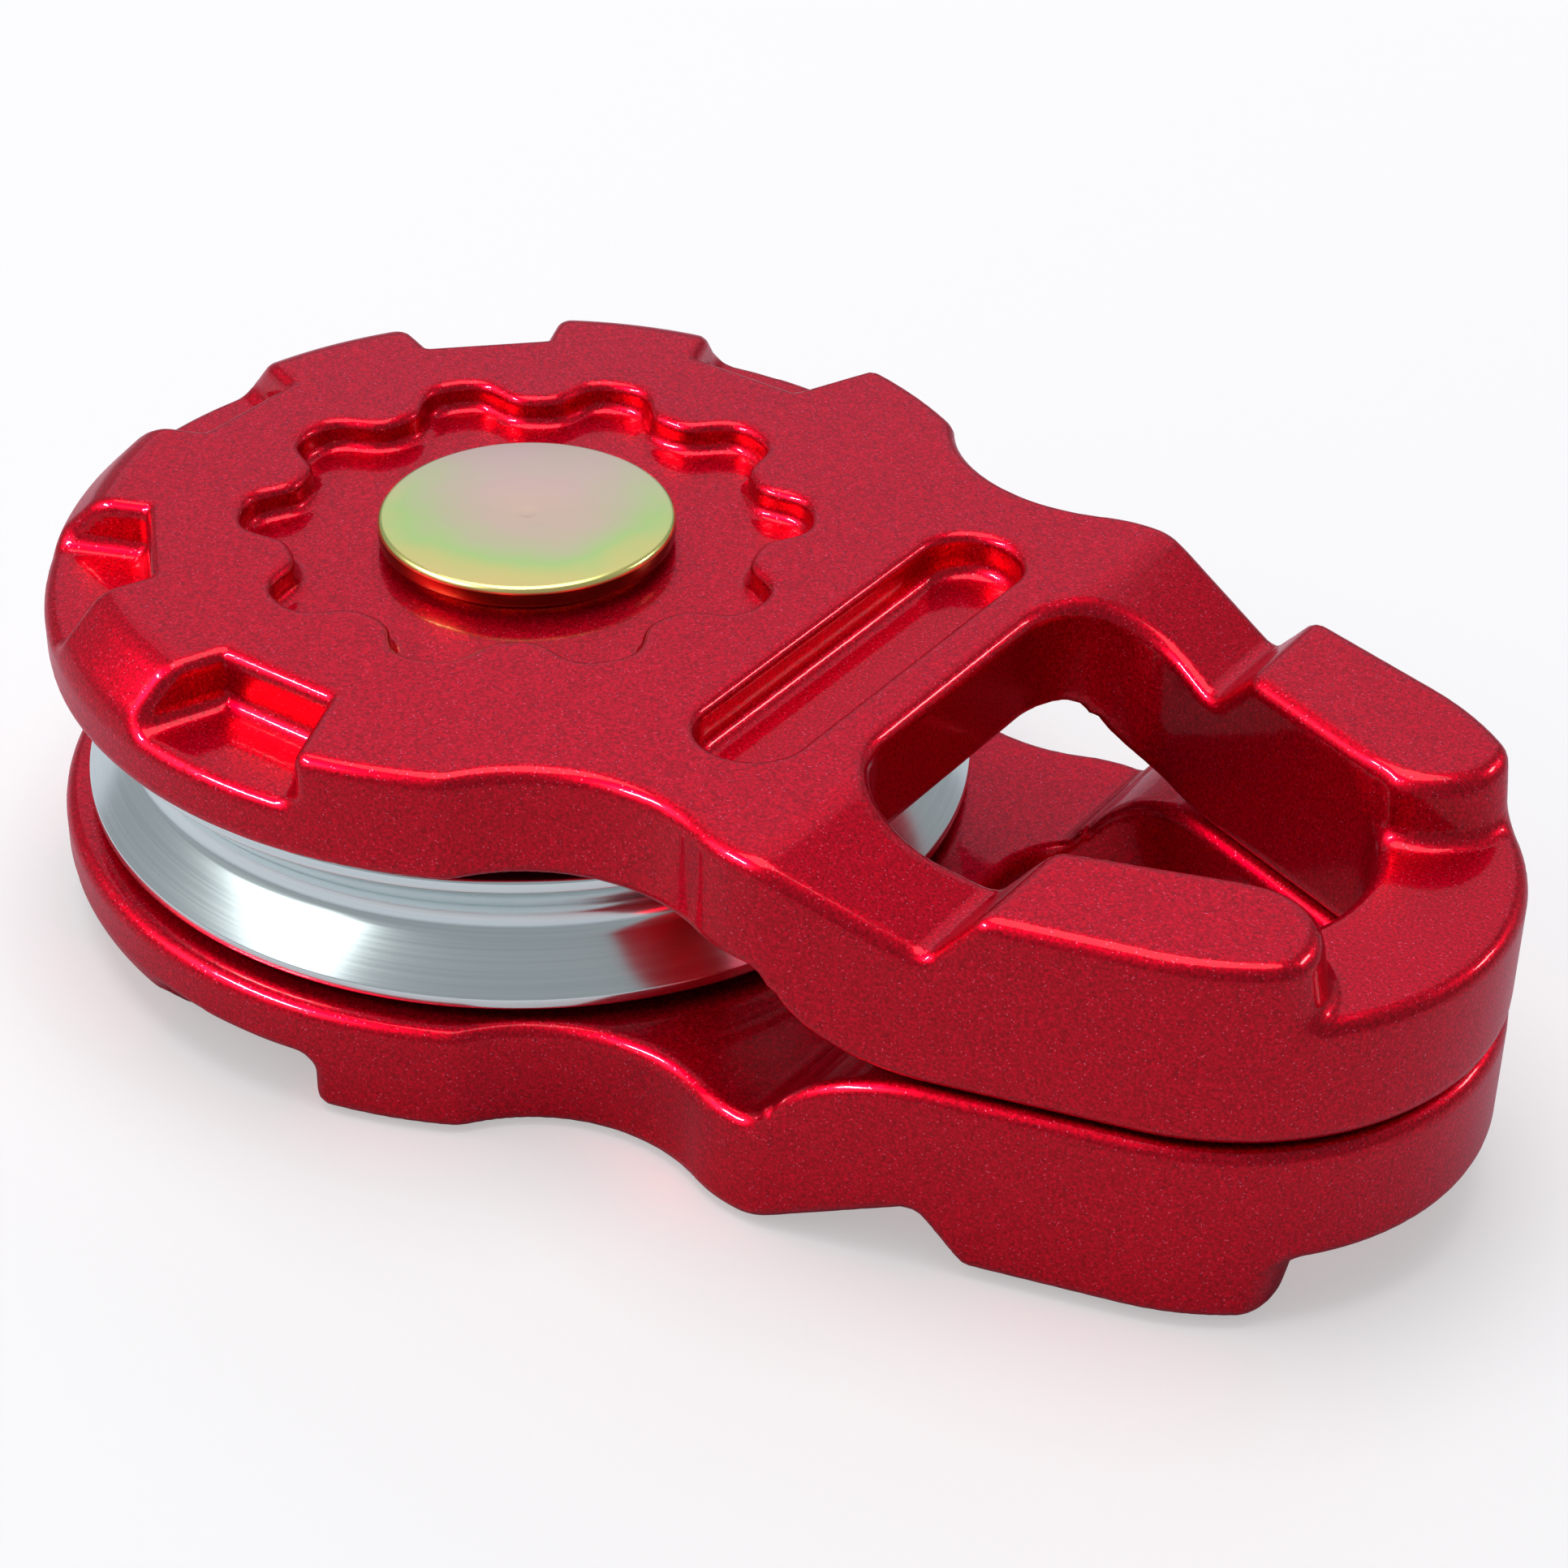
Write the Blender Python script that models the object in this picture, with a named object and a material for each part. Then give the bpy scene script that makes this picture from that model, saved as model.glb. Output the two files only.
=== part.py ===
"""Snatch block: two cast cheek plates that swing round one pin, with a rope sheave between them.

The pin's axis is Z and the shackle end points along +X. Z = 0 is the outer face of the lower cheek.
"""

import math

import bmesh
import bpy
import numpy as np

MM = 0.001

# Cheek castings, in plan
HEAD_RADIUS = 57.2
HEAD_CORNER_RADIUS = 5.3
HEAD_CORNER_ANGLE = 61.5
NECK_RADIUS = 21.2
SHOULDER_X = 62.0
SHOULDER_HALF_WIDTH = 42.8
SHOULDER_RADIUS = 17.7
NOSE_LENGTH = 127.9
NOSE_RADIUS = 32.9

# Cheek castings, from the side
CHEEK_THICKNESS = 12.7
CHEEK_GAP = 22.7
PARTING_GAP = 0.8
RAMP_X = 63.5
RAMP_ANGLE = 22.0
CHANNEL_DEPTH = 6.7
PAD_X = 86.7
PAD_WALL_ANGLE = 50.0
PAD_DROP = 0.7
THROAT_X = 64.5
THROAT_LENGTH = 18.0
CAST_EDGE = 1.3

# Saddle for the shackle, between the ends of the two pads
SADDLE_DEPTH = 8.3
SADDLE_HALF_WIDTH = 12.9
SADDLE_END_X = 116.6
PAD_END_RADIUS = 8.3
SADDLE_DRAFT = 1.6

# Shackle eye
EYE_X = 60.9
EYE_CORNER_RADIUS = 10.8
EYE_HALF_WIDTH = 25.0
EYE_END_X = 111.0
EYE_END_HALF_WIDTH = 13.5
EYE_END_RADIUS = 21.2
EYE_END_CORNER_RADIUS = 5.5

# Notches and teeth round the head
NOTCH_ANGLES = (90.0, 135.0, 180.0, 225.0, 270.0)
NOTCH_REACH = 12.6
NOTCH_HALF_WIDTH = 7.6
NOTCH_SPLAY = 22.0
NOTCH_DEPTH = 6.7
TOOTH_INSET = 6.0
TOOTH_STEP = 0.5

# Lobed pocket round the pin's head
LOBES = 10
LOBE_TIP_RADIUS = 33.7
LOBE_VALLEY_RADIUS = 28.2
LOBE_STEEPNESS = 1.5
POCKET_DEPTH = 3.7

# Plain recess across the neck
RECESS_X = 48.4
RECESS_WIDTH = 12.4
RECESS_HALF_LENGTH = 27.8
RECESS_DEPTH = 5.3

# Axle
PIN_RADIUS = 11.0
PIN_HEAD_RADIUS = 17.7
PIN_HEAD_THICKNESS = 2.6
PIN_COLLAR_RADIUS = 15.5
PIN_FOOT_RADIUS = 14.0
PIN_FOOT_THICKNESS = 1.5
PIN_EDGE = 0.5
FOOT_WASHER_RADIUS = 17.7
RUNNING_CLEARANCE = 0.08
SEAT_CLEARANCE = 0.3

# Sheave and its bearing
SHEAVE_RADIUS = 54.0
SHEAVE_WIDTH = 17.7
GROOVE_RADIUS = 3.5
GROOVE_DEPTH = 5.4
RIM_LAND = 1.0
SHEAVE_EDGE = 0.5
BUSH_WALL = 3.5
THRUST_WASHER_RADIUS = 19.0
FACE_CLEARANCE = 0.25

# Facets
ARC_STEP = 4.5
ARC_TURN = 18.0
THROAT_STEPS = 7
PAD_END_STEPS = 6
TOOTH_STEPS = 36
LOBE_STEPS = 10
GROOVE_STEPS = 8
ROUND_SEGMENTS = 40
RIM_SEGMENTS = 64
CAST_EDGE_STEPS = 2
CAST_EDGE_ANGLE = 35.0
OVERCUT = 2.0


def clear_scene():
    for old in list(bpy.data.objects):
        bpy.data.objects.remove(old, do_unlink=True)


def make_material(name, color, roughness, metallic, coat=0.0):
    material = bpy.data.materials.new(name)
    material.use_nodes = True
    shader = material.node_tree.nodes["Principled BSDF"]
    shader.inputs["Base Color"].default_value = (*color, 1.0)
    shader.inputs["Roughness"].default_value = roughness
    shader.inputs["Metallic"].default_value = metallic
    shader.inputs["Coat Weight"].default_value = coat
    material.diffuse_color = (*color, 1.0)
    return material


def arc(center, radius, start, end, count=None):
    """Points along an arc in degrees, a step of about ARC_STEP millimetres apart unless counted."""
    length = abs(math.radians(end - start)) * radius
    turn = abs(end - start)
    count = count or max(2, math.ceil(length / ARC_STEP), math.ceil(turn / ARC_TURN))
    angles = np.radians(np.linspace(start, end, count + 1))
    return [(center[0] + radius * math.cos(a), center[1] + radius * math.sin(a)) for a in angles]


def circle(radius, segments):
    angles = np.arange(segments) * 2 * math.pi / segments
    return [(radius * math.cos(a), radius * math.sin(a)) for a in angles]


def bearing(start, end):
    """Direction in degrees from one point to another."""
    return math.degrees(math.atan2(end[1] - start[1], end[0] - start[0]))


def circles_meet(first, first_radius, second, second_radius, left):
    """The point at both distances, on the left or the right of the way from first to second."""
    gap = math.dist(first, second)
    along = (gap**2 + first_radius**2 - second_radius**2) / (2 * gap)
    across = math.sqrt(first_radius**2 - along**2) * (1 if left else -1)
    ux = (second[0] - first[0]) / gap
    uy = (second[1] - first[1]) / gap
    return (first[0] + along * ux - across * uy, first[1] + along * uy + across * ux)


def tangent_normal(first, first_radius, second, second_radius):
    """Direction in degrees square to the line that touches both circles on the right of the way."""
    lean = math.degrees(math.acos((first_radius - second_radius) / math.dist(first, second)))
    return bearing(first, second) - lean


def mirrored(half):
    """A closed outline from its upper half, which starts and ends on the X axis."""
    return half + [(x, -y) for x, y in reversed(half[1:-1])]


def cheek_outline():
    """Head disc, waist, shoulder and round nose, each arc running into the next."""
    nose = (NOSE_LENGTH - NOSE_RADIUS, 0.0)
    shoulder = (SHOULDER_X, SHOULDER_HALF_WIDTH - SHOULDER_RADIUS)
    flank = tangent_normal(nose, NOSE_RADIUS, shoulder, SHOULDER_RADIUS)
    corner = turned_points([(HEAD_RADIUS - HEAD_CORNER_RADIUS, 0.0)], HEAD_CORNER_ANGLE)[0]
    neck = circles_meet(
        shoulder, SHOULDER_RADIUS + NECK_RADIUS, corner, HEAD_CORNER_RADIUS + NECK_RADIUS, False
    )
    half = arc(nose, NOSE_RADIUS, 0, flank)
    half += arc(shoulder, SHOULDER_RADIUS, flank, bearing(shoulder, neck))
    half += arc(neck, NECK_RADIUS, bearing(neck, shoulder), bearing(neck, corner))[1:]
    half += arc(corner, HEAD_CORNER_RADIUS, bearing(corner, neck), HEAD_CORNER_ANGLE)[1:]
    half += arc((0.0, 0.0), HEAD_RADIUS, HEAD_CORNER_ANGLE, 180)[1:]
    return mirrored(half)


def cheek_side():
    """Outer face, ramp, channel, pads and saddle line above; sheave face, throat and nose below."""
    channel = CHEEK_THICKNESS - CHANNEL_DEPTH
    pad_top = CHEEK_THICKNESS - PAD_DROP
    nose_under = (PARTING_GAP - CHEEK_GAP) / 2
    ramp_end = RAMP_X + CHANNEL_DEPTH / math.tan(math.radians(RAMP_ANGLE))
    wall_foot = PAD_X - (pad_top - channel) / math.tan(math.radians(PAD_WALL_ANGLE))
    past = HEAD_RADIUS + OVERCUT
    side = [(-past, CHEEK_THICKNESS), (-past, 0.0)]
    turns = np.radians(np.linspace(0, 90, THROAT_STEPS + 1))
    for turn in turns:
        x = THROAT_X + THROAT_LENGTH * (1 - math.cos(turn))
        side.append((x, nose_under * math.sin(turn)))
    side.append((NOSE_LENGTH + OVERCUT, nose_under))
    side.append((NOSE_LENGTH + OVERCUT, pad_top))
    side += [(PAD_X, pad_top), (wall_foot, channel), (ramp_end, channel), (RAMP_X, CHEEK_THICKNESS)]
    return side


def eye_outline():
    """Flat back edge, round corners, straight sides that close in, and a shallow end arc."""
    corner = (EYE_X + EYE_CORNER_RADIUS, EYE_HALF_WIDTH - EYE_CORNER_RADIUS)
    end = (EYE_END_X - EYE_END_RADIUS, 0.0)
    small_y = EYE_END_HALF_WIDTH - EYE_END_CORNER_RADIUS
    small_x = end[0] + math.sqrt((EYE_END_RADIUS - EYE_END_CORNER_RADIUS) ** 2 - small_y**2)
    small = (small_x, small_y)
    side = tangent_normal(small, EYE_END_CORNER_RADIUS, corner, EYE_CORNER_RADIUS)
    half = [(EYE_X, 0.0)]
    half += arc(corner, EYE_CORNER_RADIUS, 180, side)
    half += arc(small, EYE_END_CORNER_RADIUS, side, bearing(end, small))
    half += arc(end, EYE_END_RADIUS, bearing(end, small), 0)[1:]
    return list(reversed(mirrored(half)))


def saddle_outline(draft):
    """Region between and beyond the pads' round ends, grown by the draft."""
    radius = PAD_END_RADIUS - draft
    pad_end = (SADDLE_END_X - PAD_END_RADIUS, SADDLE_HALF_WIDTH + PAD_END_RADIUS)
    past_nose = NOSE_LENGTH + OVERCUT
    past_side = NOSE_RADIUS + OVERCUT
    half = [(past_nose, 0.0), (past_nose, past_side), (pad_end[0] + radius, past_side)]
    half += arc(pad_end, radius, 0, -90, PAD_END_STEPS)
    half += [(EYE_END_X - EYE_END_RADIUS, pad_end[1] - radius), (EYE_END_X - EYE_END_RADIUS, 0.0)]
    return mirrored(half)


def lobed_outline():
    count = LOBES * LOBE_STEPS
    middle = (LOBE_TIP_RADIUS + LOBE_VALLEY_RADIUS) / 2
    swing = (LOBE_TIP_RADIUS - LOBE_VALLEY_RADIUS) / 2
    outline = []
    for turn in np.arange(count) * 2 * math.pi / count:
        wave = math.tanh(LOBE_STEEPNESS * math.cos(LOBES * turn)) / math.tanh(LOBE_STEEPNESS)
        radius = middle + swing * wave
        outline.append((radius * math.cos(turn), radius * math.sin(turn)))
    return outline


def notch_outline():
    """Flat bottom across the radius, with sides that splay towards the rim."""
    bottom = HEAD_RADIUS - NOTCH_REACH
    past = HEAD_RADIUS + OVERCUT
    wide = NOTCH_HALF_WIDTH + (past - bottom) * math.tan(math.radians(NOTCH_SPLAY))
    return [(bottom, -NOTCH_HALF_WIDTH), (past, -wide), (past, wide), (bottom, NOTCH_HALF_WIDTH)]


def recess_outline():
    radius = RECESS_WIDTH / 2
    straight = RECESS_HALF_LENGTH - radius
    return arc((RECESS_X, straight), radius, 0, 180) + arc((RECESS_X, -straight), radius, 180, 360)


def turned_points(points, angle):
    cos = math.cos(math.radians(angle))
    sin = math.sin(math.radians(angle))
    return [(x * cos - y * sin, x * sin + y * cos) for x, y in points]


def add_object(name, mesh_data, material=None):
    mesh = bpy.data.meshes.new(name)
    mesh_data.to_mesh(mesh)
    mesh_data.free()
    made = bpy.data.objects.new(name, mesh)
    bpy.context.scene.collection.objects.link(made)
    if material:
        mesh.materials.append(material)
    return made


def loft(name, layers, material=None):
    """Closed solid through layers of (outline, height) that hold as many points each."""
    data = bmesh.new()
    rings = []
    for outline, height in layers:
        rings.append([data.verts.new((x * MM, y * MM, height * MM)) for x, y in outline])
    for low, high in zip(rings, rings[1:]):
        for index in range(len(low)):
            after = (index + 1) % len(low)
            data.faces.new((low[index], low[after], high[after], high[index]))
    data.faces.new(list(reversed(rings[0])))
    data.faces.new(rings[-1])
    bmesh.ops.recalc_face_normals(data, faces=data.faces)
    return add_object(name, data, material)


def side_prism(name, side, half_width):
    """Outline in X and Z, drawn out along Y."""
    data = bmesh.new()
    near = [data.verts.new((x * MM, -half_width * MM, z * MM)) for x, z in side]
    face = data.faces.new(near)
    drawn = bmesh.ops.extrude_face_region(data, geom=[face])
    far = [item for item in drawn["geom"] if isinstance(item, bmesh.types.BMVert)]
    bmesh.ops.translate(data, verts=far, vec=(0, 2 * half_width * MM, 0))
    bmesh.ops.recalc_face_normals(data, faces=data.faces)
    return add_object(name, data)


def turned(name, profile, segments, material):
    """Closed profile of (radius, height) points, spun once round the Z axis."""
    data = bmesh.new()
    points = [data.verts.new((r * MM, 0, z * MM)) for r, z in profile]
    pairs = [(points[i - 1], points[i]) for i in range(len(points))]
    # An edge along the axis would spin into nothing.
    edges = [data.edges.new(pair) for pair in pairs if pair[0].co.x > 0 or pair[1].co.x > 0]
    bmesh.ops.spin(
        data,
        geom=points + edges,
        axis=(0, 0, 1),
        cent=(0, 0, 0),
        steps=segments,
        angle=2 * math.pi,
        use_merge=True,
    )
    bmesh.ops.remove_doubles(data, verts=data.verts, dist=1e-6)
    bmesh.ops.recalc_face_normals(data, faces=data.faces)
    made = add_object(name, data, material)
    smooth(made)
    return made


def smooth(made):
    made.data.shade_smooth()
    made.data.set_sharp_from_angle(angle=math.radians(30))


def boolean(target, tool, operation):
    modifier = target.modifiers.new(tool.name, "BOOLEAN")
    modifier.operation = operation
    modifier.solver = "EXACT"
    modifier.object = tool
    tool.hide_render = True
    tool.display_type = "WIRE"


def apply_modifiers(made):
    graph = bpy.context.evaluated_depsgraph_get()
    mesh = bpy.data.meshes.new_from_object(made.evaluated_get(graph))
    made.modifiers.clear()
    made.data = mesh


def remove_tools(tools):
    for tool in tools:
        bpy.data.objects.remove(tool, do_unlink=True)


def cheek_casting(name, material):
    """One cheek with its sheave face at Z = 0 and its outer face up."""
    top = CHEEK_THICKNESS
    below = -CHEEK_GAP / 2
    cheek = loft(name, [(cheek_outline(), below), (cheek_outline(), top + OVERCUT)], material)
    tools = [side_prism("cheek_side", cheek_side(), HEAD_RADIUS + OVERCUT)]
    boolean(cheek, tools[0], "INTERSECT")

    saddle_floor = top - SADDLE_DEPTH
    saddle_layers = [
        (saddle_outline(-SADDLE_DRAFT), saddle_floor),
        (saddle_outline(0.0), top),
        (saddle_outline(0.0), top + OVERCUT),
    ]
    tools.append(loft("saddle_cut", saddle_layers))
    tools.append(loft("eye_cut", [(eye_outline(), below - OVERCUT), (eye_outline(), top + OVERCUT)]))
    for angle in NOTCH_ANGLES:
        notch = turned_points(notch_outline(), angle)
        tools.append(loft("notch_cut", [(notch, top - NOTCH_DEPTH), (notch, top + OVERCUT)]))

    # The slope meets the rim a step above the notch floors, so it leaves them whole.
    slope = TOOTH_INSET / (NOTCH_DEPTH - TOOTH_STEP)
    tooth_layers = []
    for height in (top - NOTCH_DEPTH, top + OVERCUT):
        inner = HEAD_RADIUS - TOOTH_INSET + slope * (top - height)
        outer = HEAD_RADIUS + OVERCUT
        ring = arc_points(inner, outer, NOTCH_ANGLES[0], NOTCH_ANGLES[-1])
        tooth_layers.append((ring, height))
    tools.append(loft("tooth_slope_cut", tooth_layers))

    tools.append(
        loft("pocket_cut", [(lobed_outline(), top - POCKET_DEPTH), (lobed_outline(), top + OVERCUT)])
    )
    tools.append(loft("recess_cut", [(recess_outline(), top - RECESS_DEPTH), (recess_outline(), top + OVERCUT)]))
    bore = circle(PIN_RADIUS + RUNNING_CLEARANCE, ROUND_SEGMENTS)
    tools.append(loft("bore_cut", [(bore, -OVERCUT), (bore, top + OVERCUT)]))
    for tool in tools[1:]:
        boolean(cheek, tool, "DIFFERENCE")

    bevel = cheek.modifiers.new("cast_edges", "BEVEL")
    bevel.width = CAST_EDGE * MM
    bevel.segments = CAST_EDGE_STEPS
    bevel.limit_method = "ANGLE"
    bevel.angle_limit = math.radians(CAST_EDGE_ANGLE)
    bevel.use_clamp_overlap = False
    bevel.miter_outer = "MITER_SHARP"
    apply_modifiers(cheek)
    remove_tools(tools)
    smooth(cheek)
    return cheek


def arc_points(inner, outer, start, end):
    """Sector of a ring between two radii, with equal counts of points on both arcs."""
    angles = np.radians(np.linspace(start, end, TOOTH_STEPS + 1))
    sector = [(outer * math.cos(a), outer * math.sin(a)) for a in angles]
    sector += [(inner * math.cos(a), inner * math.sin(a)) for a in reversed(angles)]
    return sector


def sheave_profile(bore_radius):
    """Half section: flat sides, narrow rim lands, and straight flanks down to a round groove floor."""
    half = SHEAVE_WIDTH / 2
    lip = half - SHEAVE_EDGE - RIM_LAND
    floor_center = (SHEAVE_RADIUS - GROOVE_DEPTH + GROOVE_RADIUS, 0.0)
    start = tangent_normal(floor_center, GROOVE_RADIUS, (SHEAVE_RADIUS, -lip), 0.0)
    floor = arc(floor_center, GROOVE_RADIUS, start, -360 - start, GROOVE_STEPS)
    return (
        [
            (bore_radius, -half),
            (SHEAVE_RADIUS - SHEAVE_EDGE, -half),
            (SHEAVE_RADIUS, -half + SHEAVE_EDGE),
            (SHEAVE_RADIUS, -lip),
        ]
        + floor
        + [
            (SHEAVE_RADIUS, lip),
            (SHEAVE_RADIUS, half - SHEAVE_EDGE),
            (SHEAVE_RADIUS - SHEAVE_EDGE, half),
            (bore_radius, half),
        ]
    )


def sleeve_profile(inner, outer, low, high):
    return [(inner, low), (outer, low), (outer, high), (inner, high)]


def pin_profile(overall):
    """Flush head on a collar, plain shank, and a riveted foot flush with the lower cheek."""
    head_under = overall - PIN_HEAD_THICKNESS
    collar_under = overall - POCKET_DEPTH + SEAT_CLEARANCE
    foot_over = PIN_FOOT_THICKNESS
    return [
        (0.0, 0.0),
        (PIN_FOOT_RADIUS - PIN_EDGE, 0.0),
        (PIN_FOOT_RADIUS, PIN_EDGE),
        (PIN_FOOT_RADIUS, foot_over),
        (PIN_RADIUS, foot_over),
        (PIN_RADIUS, collar_under),
        (PIN_COLLAR_RADIUS, collar_under),
        (PIN_COLLAR_RADIUS, head_under),
        (PIN_HEAD_RADIUS, head_under),
        (PIN_HEAD_RADIUS, overall - PIN_EDGE),
        (PIN_HEAD_RADIUS - PIN_EDGE, overall),
        (0.0, overall),
    ]


def build():
    clear_scene()
    red_coat = make_material("candy_red_coat", (0.42, 0.008, 0.03), 0.3, 0.7, 0.6)
    turned_steel = make_material("turned_steel", (0.56, 0.58, 0.6), 0.3, 1.0)
    yellow_zinc = make_material("yellow_zinc", (0.75, 0.62, 0.42), 0.3, 1.0)
    bronze = make_material("bearing_bronze", (0.5, 0.3, 0.12), 0.4, 1.0)

    overall = 2 * CHEEK_THICKNESS + CHEEK_GAP
    middle = overall / 2

    upper = cheek_casting("upper_cheek_plate", red_coat)
    upper.location.z = (CHEEK_THICKNESS + CHEEK_GAP) * MM
    lower = bpy.data.objects.new("lower_cheek_plate", upper.data.copy())
    bpy.context.scene.collection.objects.link(lower)
    lower.location.z = CHEEK_THICKNESS * MM
    lower.rotation_euler.x = math.pi

    bush_inner = PIN_RADIUS + RUNNING_CLEARANCE
    bush_outer = bush_inner + BUSH_WALL
    bush_half = SHEAVE_WIDTH / 2
    sheave = turned("sheave", sheave_profile(bush_outer + RUNNING_CLEARANCE), RIM_SEGMENTS, turned_steel)
    sheave.location.z = middle * MM
    bush_section = sleeve_profile(bush_inner, bush_outer, -bush_half, bush_half)
    bush = turned("sheave_bush", bush_section, ROUND_SEGMENTS, bronze)
    bush.location.z = middle * MM

    washer_thickness = (CHEEK_GAP - SHEAVE_WIDTH) / 2 - 2 * FACE_CLEARANCE
    washer_section = sleeve_profile(bush_inner, THRUST_WASHER_RADIUS, 0, washer_thickness)
    lower_washer = turned("lower_thrust_washer", washer_section, ROUND_SEGMENTS, bronze)
    lower_washer.location.z = (CHEEK_THICKNESS + FACE_CLEARANCE) * MM
    upper_washer = turned("upper_thrust_washer", washer_section, ROUND_SEGMENTS, bronze)
    upper_washer.location.z = (middle + SHEAVE_WIDTH / 2 + FACE_CLEARANCE) * MM

    turned("axle_pin", pin_profile(overall), ROUND_SEGMENTS, yellow_zinc)
    foot_washer_thickness = POCKET_DEPTH - PIN_FOOT_THICKNESS - 2 * SEAT_CLEARANCE
    foot_section = sleeve_profile(bush_inner, FOOT_WASHER_RADIUS, 0, foot_washer_thickness)
    foot_washer = turned("foot_washer", foot_section, ROUND_SEGMENTS, yellow_zinc)
    foot_washer.location.z = (PIN_FOOT_THICKNESS + SEAT_CLEARANCE) * MM


build()
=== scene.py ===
import math

import bmesh
import bpy
import numpy as np
from mathutils import Matrix


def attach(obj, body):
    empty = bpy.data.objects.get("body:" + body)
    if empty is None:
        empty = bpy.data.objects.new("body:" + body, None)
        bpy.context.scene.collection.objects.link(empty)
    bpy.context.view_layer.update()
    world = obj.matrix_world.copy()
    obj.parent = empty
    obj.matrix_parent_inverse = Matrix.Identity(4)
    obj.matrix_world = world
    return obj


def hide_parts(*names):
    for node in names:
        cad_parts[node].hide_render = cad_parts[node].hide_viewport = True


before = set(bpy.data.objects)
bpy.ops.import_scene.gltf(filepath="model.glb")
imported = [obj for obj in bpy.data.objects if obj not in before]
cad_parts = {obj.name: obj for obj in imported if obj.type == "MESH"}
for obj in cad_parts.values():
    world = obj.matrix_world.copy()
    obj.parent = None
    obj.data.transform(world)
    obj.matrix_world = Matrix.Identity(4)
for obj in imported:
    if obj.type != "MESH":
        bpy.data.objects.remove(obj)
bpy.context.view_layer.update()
millimetre = 0.001

# Both cheeks come from one pattern: sizes in millimetres, outer face up, washer's seat at height 0
cheek = {
    "headRadius": 57.2,
    "headCornerRadius": 5.3,
    "headCornerAngle": 61.5,
    "neckRadius": 21.2,
    "shoulder": (62.0, 42.8, 17.7),      # where it is widest, its half width, its radius
    "nose": (127.9, 32.9),               # tip and radius
    "thickness": 12.7,
    "gap": 22.7,
    "partingGap": 0.8,
    "ramp": (63.5, 22.0),                # start and fall in degrees
    "channelDepth": 6.7,
    "pad": (86.7, 50.0, 0.7),            # start, slope of its wall, drop below the outer face
    "throat": (64.5, 18.0),
    "eye": (60.9, 25.0, 10.8),           # back edge, half width, corner radius
    "eyeEnd": (111.0, 13.5, 21.2, 5.5),  # end, half width, end radius, corner radius
    "saddle": (116.6, 12.9, 8.3),        # end, half width, radius of the pads' ends
    "saddleDepth": 8.3,
    "saddleDraft": 1.6,
    "saddleOpening": 48.0,               # half width past the pads' ends
    "notches": (90.0, 135.0, 180.0, 225.0, 270.0),
    "notch": (12.6, 7.6, 22.0),          # reach, half width, splay
    "notchDepth": 6.7,
    "notchPast": 14.0,                   # how far the notch outlines run past the rim
    "tooth": (6.0, 0.5),                 # slope inset, step above the notch floor
    "lobes": (10, 33.7, 28.2, 1.5),      # count, tip radius, valley radius, steepness
    "pocketDepth": 3.7,
    "recess": (48.4, 12.4, 27.8),        # middle, width, half length
    "recessDepth": 5.3,
    "bore": 11.08,
    "innerStep": (1.1, 25.0),            # rise of the sheave face round the washer's seat, its radius
    "past": 12.0,                        # how far the side outline runs past the nose
    "sideBack": -72.0,                   # where it ends behind the head
    "sideFillets": (2.4, 1.6, 1.8, 9.0),     # pad's edge, wall's foot, channel's end, start of the ramp
    "throatLead": (2.6, 12.0),           # radius of the throat's first arc and the angle where it ends
    "rimFillet": 1.9,
    "saddleFillet": 1.6,
    "toothFillet": 1.6,
    "notchFillet": (2.2, 1.7),           # at its floor and at its rim
    "pocketFillet": (1.5, 1.3),
    "recessFillet": (2.0, 1.3),
    "seatFillet": (0.1, 0.3),
    "boreFillet": 0.6,
    "slopeEnd": (-3.0, 6.0, 120.0),      # the tooth slopes move out from this x, over this length, this far
    "cell": 0.8,                         # size of the mesh's cells
    "quickCell": 1.28,
    "meshBox": ((-59.03, -59.03, -13.03), (129.0, 59.03, 14.9)),     # low and high corner
    "passes": 3,                         # times that the corners are drawn onto the surface
    "leastSlope": 0.05,                  # keeps the slope's square above nought where the field is flat
    "fieldStep": 0.3,                    # step of the stored distances
    "slopeReach": 0.12,                  # how far off the places lie that give a slope
}


def arcPoints(centre, radius, start, end, step=0.5):
    # centre + radius * (cos, sin), for angles from start to end, about one step apart along the arc
    count = max(3, int(math.ceil(abs(math.radians(end - start)) * radius / step)))
    angles = np.radians(np.linspace(start, end, count + 1))
    return np.column_stack([centre[0] + radius * np.cos(angles), centre[1] + radius * np.sin(angles)])


def bearing(start, end):
    # degrees from the x axis to the way from start to end
    return math.degrees(math.atan2(end[1] - start[1], end[0] - start[0]))


def tangentNormal(first, firstRadius, second, secondRadius):
    # direction, in degrees, from each centre to where one straight line touches both circles, on the
    # right of the way from first to second: bearing - acos((first radius - second radius) / distance)
    lean = math.degrees(math.acos((firstRadius - secondRadius) / math.dist(first, second)))
    return bearing(first, second) - lean


def mirroredOutline(parts):
    # one half and its mirror image across the x axis, without the points that lie on each other
    half = np.vstack(parts)
    other = half[::-1] * (1, -1)
    outline = np.vstack([half, other])
    keep = np.hypot(*(outline - np.roll(outline, 1, axis=0)).T) > 1e-6
    return outline[keep]


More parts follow.
